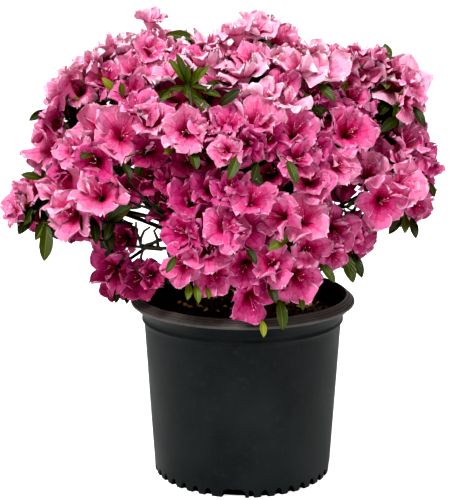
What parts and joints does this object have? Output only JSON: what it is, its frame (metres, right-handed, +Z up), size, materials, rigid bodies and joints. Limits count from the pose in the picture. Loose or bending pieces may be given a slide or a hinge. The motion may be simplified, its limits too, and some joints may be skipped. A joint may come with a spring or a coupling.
{
  "type": "potted azalea shrub",
  "caption": "Azalea shrub in full pink bloom, with a short stem, tapering boughs and a broad domed crown, in a round black nursery pot of potting mix.",
  "frame": {"origin": "middle of the pot's flat underside", "axes": "+Z up, with the show side of the crown towards -Y"},
  "size_m": [0.5384, 0.4796, 0.5838],
  "materials": {
    "pot": "satin charcoal plastic with dusty scuffs",
    "potting_mix": "dark damp mix of peat and bark chips",
    "bark": "rough brown bark",
    "spray": "soft pink petals over dark green leaves"
  },
  "bodies": {
    "root": {"pot": "pot", "potting_mix": "potting_mix", "main_stem": "bark", "bough_heart": "bark", "bough_left_front": "bark", "bough_right_front": "bark", "bough_back_mid": "bark", "bough_back_left": "bark", "bough_back_right": "bark", "bough_crest": "bark", "bough_left_low": "bark", "bough_right_low": "bark", "bough_front_low": "bark", "bough_back_low_left": "bark", "bough_back_low_right": "bark", "bough_peak": "bark", "bough_right_shoulder": "bark", "bough_back_top": "bark", "bough_back_top_left": "bark", "bough_left_shoulder": "bark", "bough_left_mid": "bark", "bough_right_high": "bark", "bough_right_far": "bark", "bough_right_mid": "bark", "bough_upper_front_left": "bark", "bough_upper_front_mid": "bark", "bough_upper_front_right": "bark", "bough_front_left_low": "bark", "bough_front_right_low": "bark", "bough_low_left": "bark", "bough_back_left_low": "bark", "spray_heart": "spray", "spray_left_front": "spray", "spray_right_front": "spray", "spray_back_mid": "spray", "spray_back_left": "spray", "spray_back_right": "spray", "spray_crest": "spray", "spray_left_low": "spray", "spray_right_low": "spray", "spray_front_low": "spray", "spray_back_low_left": "spray", "spray_back_low_right": "spray", "spray_peak": "spray", "spray_right_shoulder": "spray", "spray_back_top": "spray", "spray_back_top_left": "spray", "spray_left_shoulder": "spray", "spray_left_mid": "spray", "spray_right_high": "spray", "spray_right_far": "spray", "spray_right_mid": "spray", "spray_upper_front_left": "spray", "spray_upper_front_mid": "spray", "spray_upper_front_right": "spray", "spray_front_left_low": "spray", "spray_front_right_low": "spray", "spray_low_left": "spray", "spray_back_left_low": "spray"}
  },
  "joints": []
}
